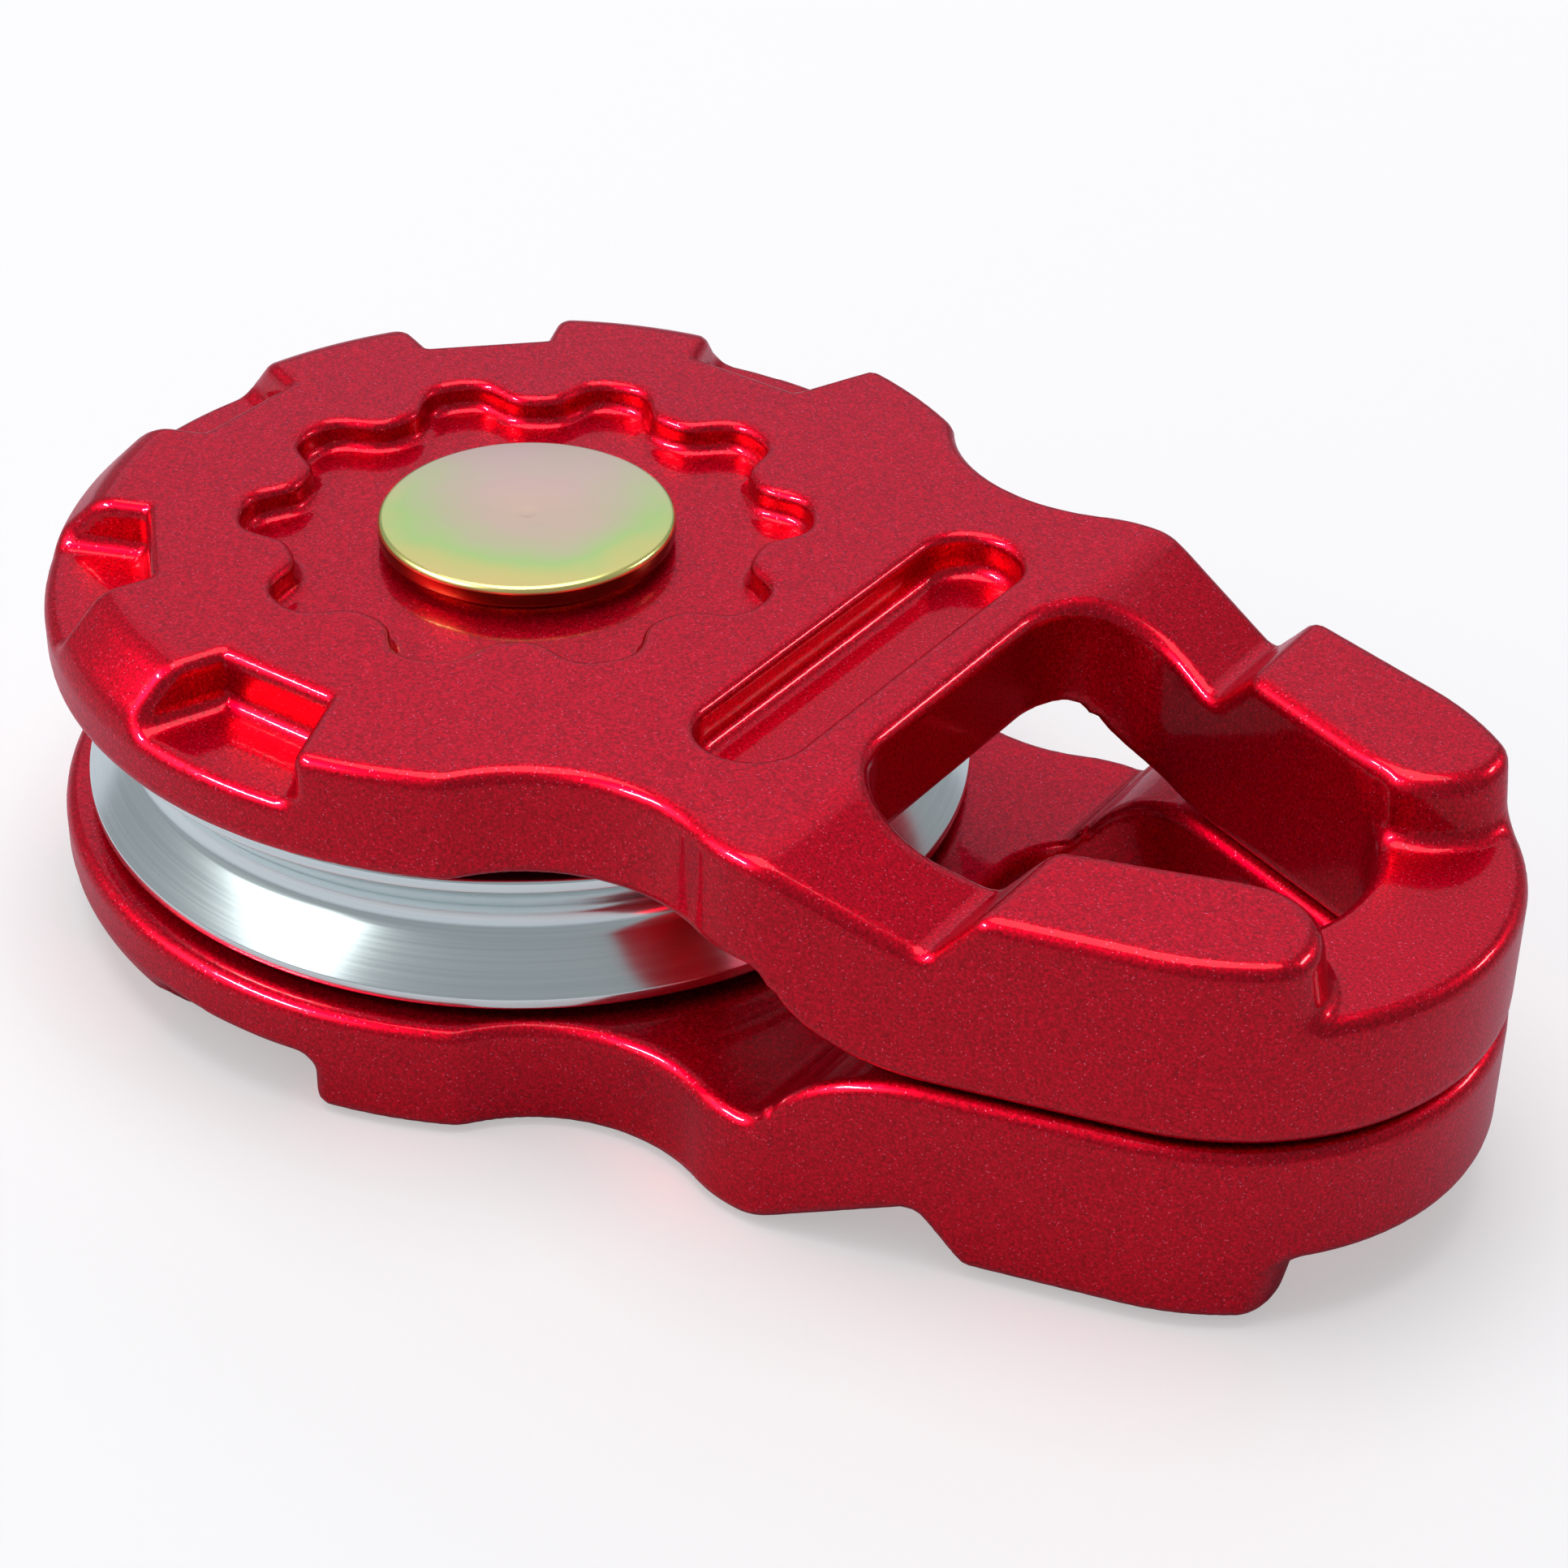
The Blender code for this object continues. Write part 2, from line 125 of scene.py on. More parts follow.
def cheekOutline():
    # head disc, corner, waist arc, shoulder arc and round nose, each touching the next
    c = cheek
    nose = (c["nose"][0] - c["nose"][1], 0.0)
    shoulder = (c["shoulder"][0], c["shoulder"][1] - c["shoulder"][2])
    flank = tangentNormal(nose, c["nose"][1], shoulder, c["shoulder"][2])
    angle = math.radians(c["headCornerAngle"])
    reach = c["headRadius"] - c["headCornerRadius"]
    corner = (reach * math.cos(angle), reach * math.sin(angle))
    toShoulder = c["shoulder"][2] + c["neckRadius"]
    toCorner = c["headCornerRadius"] + c["neckRadius"]
    apart = math.dist(shoulder, corner)
    along = (apart**2 + toShoulder**2 - toCorner**2) / (2 * apart)
    across = math.sqrt(toShoulder**2 - along**2)
    ux = (corner[0] - shoulder[0]) / apart
    uy = (corner[1] - shoulder[1]) / apart
    neck = (shoulder[0] + along * ux + across * uy, shoulder[1] + along * uy - across * ux)
    return mirroredOutline([
        arcPoints(nose, c["nose"][1], 0, flank),
        arcPoints(shoulder, c["shoulder"][2], flank, bearing(shoulder, neck)),
        arcPoints(neck, c["neckRadius"], bearing(neck, shoulder), bearing(neck, corner)),
        arcPoints(corner, c["headCornerRadius"], bearing(corner, neck), c["headCornerAngle"]),
        arcPoints((0, 0), c["headRadius"], c["headCornerAngle"], 180),
    ])


def eyeOutline():
    # flat back edge, round corners, straight sides that close in, shallow end arc
    back, halfWidth, radius = cheek["eye"]
    tip, endHalf, endRadius, endCorner = cheek["eyeEnd"]
    corner = (back + radius, halfWidth - radius)
    end = (tip - endRadius, 0.0)
    smallY = endHalf - endCorner
    small = (end[0] + math.sqrt((endRadius - endCorner) ** 2 - smallY**2), smallY)
    side = tangentNormal(small, endCorner, corner, radius)
    return mirroredOutline([
        np.array([[back, 0.0]]),
        arcPoints(corner, radius, 180, side),
        arcPoints(small, endCorner, side, bearing(end, small)),
        arcPoints(end, endRadius, bearing(end, small), 0),
    ])


def saddleOutline():
    # between the pads it is a straight channel, and past their round ends it opens to both sides
    end, halfWidth, radius = cheek["saddle"]
    middle = (end - radius, halfWidth + radius)
    wide = cheek["saddleOpening"]
    back = cheek["eyeEnd"][0] - cheek["eyeEnd"][2]
    past = cheek["nose"][0] + cheek["past"]
    return mirroredOutline([
        np.array([[past, 0.0], [past, wide], [end, wide]]),
        arcPoints(middle, radius, 0, -90),
        np.array([[back, halfWidth], [back, 0.0]]),
    ])


def lobedOutline():
    # radius = middle + swing * tanh(k cos(n angle)) / tanh(k): steep flanks, full round lobes
    count, tip, valley, steep = cheek["lobes"]
    angles = np.linspace(0, 2 * math.pi, count * 40, endpoint=False)
    wave = np.tanh(steep * np.cos(count * angles)) / math.tanh(steep)
    radius = (tip + valley) / 2 + (tip - valley) / 2 * wave
    return np.column_stack([radius * np.cos(angles), radius * np.sin(angles)])


def notchOutlines():
    # flat bottom across the radius and sides that splay towards the rim, turned to each angle
    reach, half, splay = cheek["notch"]
    bottom = cheek["headRadius"] - reach
    past = cheek["headRadius"] + cheek["notchPast"]
    wide = half + (past - bottom) * math.tan(math.radians(splay))
    shape = np.array([[bottom, -half], [past, -wide], [past, wide], [bottom, half]])
    turned = []
    for angle in np.radians(cheek["notches"]):
        turn = np.array([[math.cos(angle), math.sin(angle)], [-math.sin(angle), math.cos(angle)]])
        turned.append(shape @ turn)
    return turned


def roundedCorners(points, radii):
    # each corner becomes an arc that touches both of its sides
    parts = []
    for index, radius in enumerate(radii):
        here = points[index]
        before = points[index - 1] - here
        after = points[(index + 1) % len(points)] - here
        before = before / np.hypot(*before)
        after = after / np.hypot(*after)
        half = math.acos(np.clip(before @ after, -1, 1)) / 2
        if radius == 0 or half > 1.56:      # no edge, or one that is nearly straight
            parts.append(here[None])
            continue
        middle = (before + after) / np.hypot(*(before + after))
        centre = here + middle * radius / math.sin(half)
        first = here + before * radius / math.tan(half) - centre
        last = here + after * radius / math.tan(half) - centre
        start = math.degrees(math.atan2(first[1], first[0]))
        turn = (math.degrees(math.atan2(last[1], last[0])) - start + 180) % 360 - 180
        parts.append(arcPoints(centre, radius, start, start + turn, 0.4))
    return np.vstack(parts)


def sideOutline():
    # outer face, ramp, channel and pad line above; nose, throat curve and sheave face below
    top = cheek["thickness"]
    channel = top - cheek["channelDepth"]
    rampX, rampAngle = cheek["ramp"]
    padX, padWall, padDrop = cheek["pad"]
    throatX, throatLength = cheek["throat"]
    under = (cheek["partingGap"] - cheek["gap"]) / 2
    rise = cheek["innerStep"][0]
    rampEnd = rampX + cheek["channelDepth"] / math.tan(math.radians(rampAngle))
    wallFoot = padX - (top - padDrop - channel) / math.tan(math.radians(padWall))
    far = cheek["nose"][0] + cheek["past"]
    back = cheek["sideBack"]
    upper = np.array([
        [far, top - padDrop], [padX, top - padDrop], [wallFoot, channel],
        [rampEnd, channel], [rampX, top], [back, top], [back, -rise],
    ])
    upper = roundedCorners(np.vstack([upper, [[throatX, -rise], [throatX, under], [far, under]]]),
                           [0, *cheek["sideFillets"], 0, 0, 0, 0, 0])
    keep = ~((upper[:, 0] > 0) & (upper[:, 1] < 1e-6))
    turns = np.radians(np.linspace(0, 90, 40))
    throat = np.column_stack([throatX + throatLength * (1 - np.cos(turns)), under * np.sin(turns)])
    leadRadius, leadEnd = cheek["throatLead"]
    lead = arcPoints((throatX - leadRadius, -leadRadius - rise), leadRadius, 90, leadEnd, 0.3)
    throat = np.vstack([lead, throat[throat[:, 1] < lead[-1, 1]]])
    return np.vstack([upper[keep], throat, [[far, under]]])


def outlineDistance(x, y, outline):
    # distance to the nearest side of a closed outline, negative inside
    best = np.full(x.shape, 1e9)
    inside = np.zeros(x.shape, bool)
    for a, b in zip(outline, np.roll(outline, -1, axis=0)):
        run = b - a
        t = np.clip(((x - a[0]) * run[0] + (y - a[1]) * run[1]) / (run @ run), 0, 1)
        best = np.minimum(best, (x - a[0] - t * run[0]) ** 2 + (y - a[1] - t * run[1]) ** 2)
        if a[1] != b[1]:
            crosses = (a[1] > y) != (b[1] > y)
            inside ^= crosses & (x < a[0] + (y - a[1]) * run[0] / run[1])
    return np.sqrt(best) * np.where(inside, -1.0, 1.0)


class StoredDistance:
    # distances on a fine flat grid, read back between its points
    def __init__(self, outlines, low, high):
        step = cheek["fieldStep"]
        self.low = np.array(low)
        self.step = step
        u = np.arange(low[0], high[0] + step, step)
        v = np.arange(low[1], high[1] + step, step)
        grid = np.meshgrid(u, v, indexing="ij")
        self.values = np.min([outlineDistance(*grid, outline) for outline in outlines], axis=0)

    def at(self, u, v):
        size = self.values.shape
        a = np.clip((u - self.low[0]) / self.step, 0, size[0] - 1.001)
        b = np.clip((v - self.low[1]) / self.step, 0, size[1] - 1.001)
        i = a.astype(int)
        j = b.astype(int)
        a = a - i
        b = b - j
        w = self.values
        near = w[i, j] * (1 - b) + w[i, j + 1] * b
        far = w[i + 1, j] * (1 - b) + w[i + 1, j + 1] * b
        return near * (1 - a) + far * a


def both(a, b, radius):
    # the region inside both shapes, with a fillet of that radius where their walls meet
    outside = np.hypot(np.maximum(a + radius, 0), np.maximum(b + radius, 0))
    return np.minimum(-radius, np.maximum(a, b)) + outside


# the flat box of each stored distance, as its low and its high corner
fieldBoxes = {
    "plan": ((-62.0, -62.0), (132.0, 62.0)),
    "side": ((-62.0, -16.0), (132.0, 17.0)),
    "eye": ((54.0, -32.0), (118.0, 32.0)),
    "saddle": ((82.0, -40.0), (132.0, 40.0)),
    "lobes": ((-40.0, -40.0), (40.0, 40.0)),
    "notches": ((-62.0, -62.0), (24.0, 62.0)),
}


def prepareFields():
    outlines = {
        "plan": [cheekOutline()],
        "side": [sideOutline()],
        "eye": [eyeOutline()],
        "saddle": [saddleOutline()],
        "lobes": [lobedOutline()],
        "notches": notchOutlines(),
    }
    return {name: StoredDistance(shapes, *fieldBoxes[name]) for name, shapes in outlines.items()}


def castingPlan(fields, x, y):
    # the distances that depend only on the place in plan; the recess is a slot with round ends
    recessX, recessWidth, recessHalf = cheek["recess"]
    along = np.abs(y) - (recessHalf - recessWidth / 2)
    flat = {name: field.at(x, y) for name, field in fields.items() if name != "side"}
    flat["recess"] = np.hypot(x - recessX, np.maximum(along, 0)) - recessWidth / 2
    flat["radius"] = np.hypot(x, y)
    return flat


def castingDistance(flat, side, x, z):
    # the plate is plan outline and side outline together, less each hollow, every edge with its fillet
    top = cheek["thickness"]
    rim = cheek["rimFillet"]
    body = both(flat["plan"], side, rim)

    inset, step = cheek["tooth"]
    depth = cheek["notchDepth"]
    lean = math.atan2(inset, depth - step)
    coneRadius = cheek["headRadius"] - inset + (top - z) * math.tan(lean)
    # the sloped tooth faces end inside the two side notches
    slopeX, slopeLength, slopeDrop = cheek["slopeEnd"]
    fade = np.clip((x - slopeX) / slopeLength, 0, 1)
    cone = (flat["radius"] - coneRadius) * math.cos(lean) - slopeDrop * fade
    body = both(body, cone, cheek["toothFillet"])

    for hollow, floor, (floorFillet, edgeFillet) in (
        (flat["notches"], top - depth, cheek["notchFillet"]),
        (flat["lobes"], top - cheek["pocketDepth"], cheek["pocketFillet"]),
        (flat["recess"], top - cheek["recessDepth"], cheek["recessFillet"]),
    ):
        body = both(body, -both(hollow, floor - z, floorFillet), edgeFillet)

    depth = cheek["saddleDepth"]
    wall = flat["saddle"] + cheek["saddleDraft"] * (top - z) / depth
    saddle = both(wall, top - depth - z, cheek["saddleFillet"])
    body = both(body, -saddle, rim)
    body = both(body, -flat["eye"], rim)
    seatInner, seatEdge = cheek["seatFillet"]
    seat = both(flat["radius"] - cheek["innerStep"][1], z, seatInner)
    body = both(body, -seat, seatEdge)
    return both(body, cheek["bore"] - flat["radius"], cheek["boreFillet"])


def surfaceNet(low, step, values):
    # one corner in every cell that the surface crosses, at the middle of its crossings, and one
    # face across every grid edge whose ends lie on different sides
    inside = values < 0
    size = np.array(values.shape)
    cells = size - 1
    total = np.zeros((*cells, 3), np.float32)
    count = np.zeros(cells, np.int8)
    for axis in range(3):
        others = [k for k in range(3) if k != axis]
        head = [slice(None)] * 3
        tail = [slice(None)] * 3
        head[axis] = slice(0, -1)
        tail[axis] = slice(1, None)
        a = values[tuple(head)]
        b = values[tuple(tail)]
        cross = (a < 0) != (b < 0)
        t = np.where(cross, a / np.where(cross, a - b, 1), 0)
        for i in (0, 1):
            for j in (0, 1):
                pick = [slice(None)] * 3
                pick[others[0]] = slice(i, size[others[0]] - 1 + i)
                pick[others[1]] = slice(j, size[others[1]] - 1 + j)
                hit = cross[tuple(pick)]
                count += hit
                total[..., axis] += np.where(hit, t[tuple(pick)], 0)
                total[..., others[0]] += hit * i
                total[..., others[1]] += hit * j
    active = count > 0
    index = np.full(cells, -1, np.int64)
    index[active] = np.arange(active.sum())
    corners = np.argwhere(active) + total[active] / count[active][:, None]
    faces = []
    for axis in range(3):
        u, v = [(1, 2), (2, 0), (0, 1)][axis]
        head = [slice(1, -1)] * 3
        tail = [slice(1, -1)] * 3
        head[axis] = slice(0, -1)
        tail[axis] = slice(1, None)
        a = inside[tuple(head)]
        b = inside[tuple(tail)]
        for outward, hit in ((True, a & ~b), (False, ~a & b)):
            at = np.argwhere(hit) + 1
            at[:, axis] -= 1
            ring = []
            for du, dv in ((0, 0), (-1, 0), (-1, -1), (0, -1)):
                cell = at.copy()
                cell[:, u] += du
                cell[:, v] += dv
                ring.append(index[cell[:, 0], cell[:, 1], cell[:, 2]])
            quad = np.column_stack(ring)
            faces.append(quad if outward else quad[:, ::-1])
    return np.array(low) + corners * step, np.vstack(faces)


def fieldAt(fields, points):
    # the casting's distance at any places
    x, y, z = points.T
    return castingDistance(castingPlan(fields, x, y), fields["side"].at(x, z), x, z)


def fieldSlope(fields, points):
    # along each axis, the change between a place on either side over the distance between the two
    reach = cheek["slopeReach"]
    slope = np.empty_like(points)
    for axis in range(3):
        shift = np.zeros(3)
        shift[axis] = reach
        slope[:, axis] = fieldAt(fields, points + shift) - fieldAt(fields, points - shift)
    return slope / (2 * reach)


def castingMesh():
    # distances on a grid, a net over the zero surface, then each corner drawn onto that surface
    fields = prepareFields()
    step = cheek["cell"]
    low, high = cheek["meshBox"]
    axes = [np.arange(low[k], high[k] + step, step) for k in range(3)]
    flat = castingPlan(fields, *np.meshgrid(axes[0], axes[1], indexing="ij"))
    flat = {name: value[:, :, None] for name, value in flat.items()}
    side = fields["side"].at(*np.meshgrid(axes[0], axes[2], indexing="ij"))[:, None, :]
    values = castingDistance(flat, side, axes[0][:, None, None], axes[2][None, None, :])
    points, faces = surfaceNet(low, step, values)
    for passNumber in range(cheek["passes"]):
        slope = fieldSlope(fields, points)
        length = np.sum(slope * slope, axis=1) + cheek["leastSlope"]
        points = points - (fieldAt(fields, points) / length)[:, None] * slope
    slope = fieldSlope(fields, points)
    normals = slope / np.linalg.norm(slope, axis=1)[:, None]
    return points, faces, normals


def makeObject(name, points, faces, body, slotName, material, nodes):
    # one finished piece at the origin, riding on its body in place of the CAD nodes
    mesh = bpy.data.meshes.new(name)
    mesh.from_pydata((np.asarray(points) * millimetre).tolist(), [], np.asarray(faces).tolist())
    mesh.validate()
    mesh.shade_smooth()
    made = bpy.data.objects.new(name, mesh)
    bpy.context.scene.collection.objects.link(made)
    mesh.materials.append(material)
    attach(made, body)
    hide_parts(*nodes)
    return made


# Camera found from the photograph: units are the pin head's radius, the origin is the middle of its top
view = {
    "unit": 17.7,
    "azimuth": -55.518,
    "elevation": 34.211,
    "roll": 1.156,
    "offset": (-1.7240, 1.8236, -24.1818),
    "focal": 4443.95,    # in pixels of a frame 1932 wide
    "frameWidth": 1932,
    "sensor": 36.0,      # millimetres
}


def makeCamera():
    # rows are the camera's right, up and back; its place is where all three offsets vanish
    az = math.radians(view["azimuth"])
    el = math.radians(view["elevation"])
    roll = math.radians(view["roll"])
    back = np.array([math.cos(az) * math.cos(el), math.sin(az) * math.cos(el), math.sin(el)])
    right = np.array([-math.sin(az), math.cos(az), 0.0])
    up = np.cross(back, right)
    rows = np.array([
        math.cos(roll) * right + math.sin(roll) * up,
        math.cos(roll) * up - math.sin(roll) * right,
        back,
    ])
    place = -rows.T @ np.array(view["offset"]) * view["unit"] * millimetre
    place[2] += (2 * cheek["thickness"] + cheek["gap"]) * millimetre
    data = bpy.data.cameras.new("camera")
    data.sensor_width = view["sensor"]
    data.lens = view["focal"] / view["frameWidth"] * view["sensor"]
    data.clip_start = 0.01
    made = bpy.data.objects.new("camera", data)
    bpy.context.scene.collection.objects.link(made)
    matrix = Matrix(rows.T.tolist()).to_4x4()
    matrix.translation = place
    made.matrix_world = matrix
    bpy.context.scene.camera = made


def hexColour(text):
    # sRGB hex to linear
    value = np.array([int(text[i:i + 2], 16) for i in (1, 3, 5)]) / 255
    linear = np.where(value <= 0.04045, value / 12.92, ((value + 0.055) / 1.055) ** 2.4)
    return (*linear.tolist(), 1.0)


def addNode(tree, kind, inputs=None, links=None, **settings):
    # one node with its settings, its input values and its links from (node, output)
    node = tree.nodes.new(kind)
    for name, value in settings.items():
        setattr(node, name, value)
    for name, value in (inputs or {}).items():
        node.inputs[name].default_value = value
    for name, (source, output) in (links or {}).items():
        tree.links.new(source.outputs[output], node.inputs[name])
    return node


def newMaterial(name):
    # a node material and its shader
    material = bpy.data.materials.new(name)
    material.use_nodes = True
    tree = material.node_tree
    return material, tree, tree.nodes["Principled BSDF"]


def ramp(tree, source, output, stops):
    # colours along a value, from (place, sRGB hex) pairs
    node = addNode(tree, "ShaderNodeValToRGB", links={"Fac": (source, output)})
    elements = node.color_ramp.elements
    while len(elements) < len(stops):
        elements.new(0.5)
    for element, (place, colour) in zip(elements, stops):
        element.position = place
        element.color = hexColour(colour)
    return node


def noise(tree, place, size, detail=2.0, roughness=0.5):
    # clouds whose crests lie about size millimetres apart
    return addNode(tree, "ShaderNodeTexNoise",
                   {"Scale": 1000 / size, "Detail": detail, "Roughness": roughness},
                   {"Vector": (place, "Object")})


def bump(tree, source, size, below=None):
    # a relief from a noise, given as its strength and its depth in millimetres, on top of the one below
    links = {"Height": (source, "Fac")}
    if below:
        links["Normal"] = (below, "Normal")
    return addNode(tree, "ShaderNodeBump", {"Strength": size[0], "Distance": size[1] * millimetre}, links)


redCoat = {
    "deep": "#940014",
    "bright": "#e00026",
    "flake": "#e65070",
    "flakeSize": 0.13,      # millimetres between flakes
    "flakeShare": 0.988,    # the share of flakes that stay dark
    "peelSize": 1.3,        # millimetres between the crests of the orange peel
    "grainSize": 0.34,      # millimetres between clusters of flakes
    "peelRelief": (0.12, 0.08),     # strength and millimetres
    "flakeRelief": (0.3, 0.03),
    "edgeTint": "#f6ccdc",  # what the flaked base leans to when seen at a slant
    "metallic": 1.0,
    "roughness": 0.4,
    "coatWeight": 0.34,
    "coatRoughness": 0.07,
}


def makeRedCoat():
    # candy powder coat: a tinted clear film over a bright flaked base, which glows where a lamp strikes
    # it square on, falls to black cherry in the hollows, and glitters in points
    material, tree, shader = newMaterial("candyPowderCoat")
    place = addNode(tree, "ShaderNodeTexCoord")
    flakes = addNode(tree, "ShaderNodeTexVoronoi", {"Scale": 1000 / redCoat["flakeSize"]},
                     {"Vector": (place, "Object")}, feature="F1")
    pick = addNode(tree, "ShaderNodeSeparateColor", links={"Color": (flakes, "Color")})
    lit = addNode(tree, "ShaderNodeMath", {1: redCoat["flakeShare"]}, {0: (pick, "Red")},
                  operation="GREATER_THAN")
    grain = noise(tree, place, redCoat["grainSize"])
    film = ramp(tree, grain, "Fac", [(0.3, redCoat["deep"]), (0.7, redCoat["bright"])])
    colour = addNode(tree, "ShaderNodeMixRGB", {"Color2": hexColour(redCoat["flake"])},
                     {"Fac": (lit, "Value"), "Color1": (film, "Color")})
    tree.links.new(colour.outputs["Color"], shader.inputs["Base Color"])
    peel = bump(tree, noise(tree, place, redCoat["peelSize"]), redCoat["peelRelief"])
    flaked = bump(tree, grain, redCoat["flakeRelief"], peel)
    tree.links.new(flaked.outputs["Normal"], shader.inputs["Normal"])
    tree.links.new(peel.outputs["Normal"], shader.inputs["Coat Normal"])
    shader.inputs["Metallic"].default_value = redCoat["metallic"]
    shader.inputs["Roughness"].default_value = redCoat["roughness"]
    shader.inputs["Specular Tint"].default_value = hexColour(redCoat["edgeTint"])
    shader.inputs["Specular IOR Level"].default_value = 0.0
    shader.inputs["Coat Weight"].default_value = redCoat["coatWeight"]
    shader.inputs["Coat Roughness"].default_value = redCoat["coatRoughness"]
    return material


turnedSteel = {
    "colour": "#e6f2f2",
    "dark": "#dce9ea",
    "roughness": (0.165, 0.2),      # of the smoothest and the roughest lines
    "lineWidth": 0.35,      # millimetres between the turning lines that show; the real ones are finer
    "lineRun": 0.015,       # how fast a line changes along its run, per millimetre
    "lineRelief": (0.02, 0.02),
}


def makeTurnedSteel():
    # machined steel with a satin plating: fine lines round the axis stretch each highlight across them
    material, tree, shader = newMaterial("turnedSteel")
    place = addNode(tree, "ShaderNodeUVMap", uv_map="turned")
    stretch = (turnedSteel["lineRun"], 1 / turnedSteel["lineWidth"], 1.0)
    lines = addNode(tree, "ShaderNodeMapping", {"Scale": stretch}, {"Vector": (place, "UV")})
    streak = addNode(tree, "ShaderNodeTexNoise", {"Scale": 1.0, "Detail": 3.0, "Roughness": 0.55},
                     {"Vector": (lines, "Vector")})
    tint = ramp(tree, streak, "Fac", [(0.3, turnedSteel["dark"]), (0.7, turnedSteel["colour"])])
    tree.links.new(tint.outputs["Color"], shader.inputs["Base Color"])
    relief = bump(tree, streak, turnedSteel["lineRelief"])
    tree.links.new(relief.outputs["Normal"], shader.inputs["Normal"])
    smoothest, roughest = turnedSteel["roughness"]
    rough = addNode(tree, "ShaderNodeMapRange",
                    {"From Min": 0.3, "From Max": 0.7, "To Min": smoothest, "To Max": roughest},
                    {"Value": (streak, "Fac")})
    tree.links.new(rough.outputs[0], shader.inputs["Roughness"])
    shader.inputs["Metallic"].default_value = 1.0
    return material


yellowZinc = {
    "film": [
        (0.0, "#ead0ae"), (0.3, "#e0cdae"), (0.5, "#d2d6a2"),
        (0.66, "#c0e48c"), (0.8, "#dee088"), (1.0, "#f0dc8c"),
    ],
    # the film in the middle, its growth to the rim and to the turned side, and the share of the clouds
    "thickness": (-0.12, 0.62, -0.22, 0.5),
    "turn": 124.0,          # degrees: the side of the head where the film is thinnest and blushes
    "blush": "#f8ccd0",
    "blushShare": (1.1, 0.7),       # reached at this many head radii, and how much of it shows there
    # painted shade: the dark brown put on the head's side in place of the dark pocket that it reflects
    "side": "#6e4a26",
    "cloudSize": 11.0,      # millimetres
    "grainSize": 0.6,
    "grainRelief": (0.1, 0.02),
    "roughness": 0.26,
}


def makeYellowZinc():
    # yellow zinc chromate: an oil-thin film, peach in the middle, green and then yellow where it thickens
    # towards the rim, with a pink blush on one side
    material, tree, shader = newMaterial("yellowZincChromate")
    place = addNode(tree, "ShaderNodeTexCoord")
    scale = 1 / (pin["headRadius"] * millimetre)
    flat = addNode(tree, "ShaderNodeVectorMath", {1: (scale, scale, 0.0)}, {0: (place, "Object")},
                   operation="MULTIPLY")
    away = addNode(tree, "ShaderNodeVectorMath", links={0: (flat, "Vector")}, operation="LENGTH")
    turn = math.radians(yellowZinc["turn"])
    aside = addNode(tree, "ShaderNodeVectorMath", {1: (math.cos(turn), math.sin(turn), 0.0)},
                    {0: (flat, "Vector")}, operation="DOT_PRODUCT")
    cloud = noise(tree, place, yellowZinc["cloudSize"], roughness=0.45)
    middle, outward, sideways, clouds = yellowZinc["thickness"]
    film = addNode(tree, "ShaderNodeMath", {1: outward, 2: middle}, {0: (away, "Value")},
                   operation="MULTIPLY_ADD")
    film = addNode(tree, "ShaderNodeMath", {1: sideways}, {0: (aside, "Value"), 2: (film, 0)},
                   operation="MULTIPLY_ADD")
    film = addNode(tree, "ShaderNodeMath", {1: clouds}, {0: (cloud, "Fac"), 2: (film, 0)},
                   operation="MULTIPLY_ADD")
    tint = ramp(tree, film, 0, yellowZinc["film"])
    blushReach, blushMost = yellowZinc["blushShare"]
    blushed = addNode(tree, "ShaderNodeMapRange", {"From Max": blushReach, "To Max": blushMost},
                      {"Value": (aside, "Value")})
    colour = addNode(tree, "ShaderNodeMixRGB", {"Color2": hexColour(yellowZinc["blush"])},
                     {"Fac": (blushed, 0), "Color1": (tint, "Color")})
    # painted shade: the head's side, between its underside and its rolled edge, is coloured dark brown to
    # stand in for the dark pocket that it reflects
    overall = 2 * cheek["thickness"] + cheek["gap"]
    low = (overall - pin["headThickness"]) * millimetre
    high = (overall - pin["headEdge"]) * millimetre
    split = addNode(tree, "ShaderNodeSeparateXYZ", links={"Vector": (place, "Object")})
    shadedSideBand = addNode(tree, "ShaderNodeMath", {1: (low + high) / 2, 2: (high - low) / 2}, {0: (split, "Z")},
                     operation="COMPARE")
    shadedSideColour = addNode(tree, "ShaderNodeMixRGB", {"Color2": hexColour(yellowZinc["side"])},
                      {"Fac": (shadedSideBand, 0), "Color1": (colour, "Color")})
    tree.links.new(shadedSideColour.outputs["Color"], shader.inputs["Base Color"])
    relief = bump(tree, noise(tree, place, yellowZinc["grainSize"]), yellowZinc["grainRelief"])
    tree.links.new(relief.outputs["Normal"], shader.inputs["Normal"])
    shader.inputs["Metallic"].default_value = 1.0
    shader.inputs["Roughness"].default_value = yellowZinc["roughness"]
    return material


bronze = {
    "colour": "#b88a4e",
    "dark": "#96703f",
    "poreSize": 0.8,        # millimetres
    "roughness": 0.42,
}


def makeBronze():
    # sintered bearing bronze: a brown, slightly open metal, oiled dark in its pores
    material, tree, shader = newMaterial("sinteredBronze")
    place = addNode(tree, "ShaderNodeTexCoord")
    pores = noise(tree, place, bronze["poreSize"], detail=3.0)
    tint = ramp(tree, pores, "Fac", [(0.35, bronze["dark"]), (0.6, bronze["colour"])])
    tree.links.new(tint.outputs["Color"], shader.inputs["Base Color"])
    shader.inputs["Metallic"].default_value = 1.0
    shader.inputs["Roughness"].default_value = bronze["roughness"]
    return material


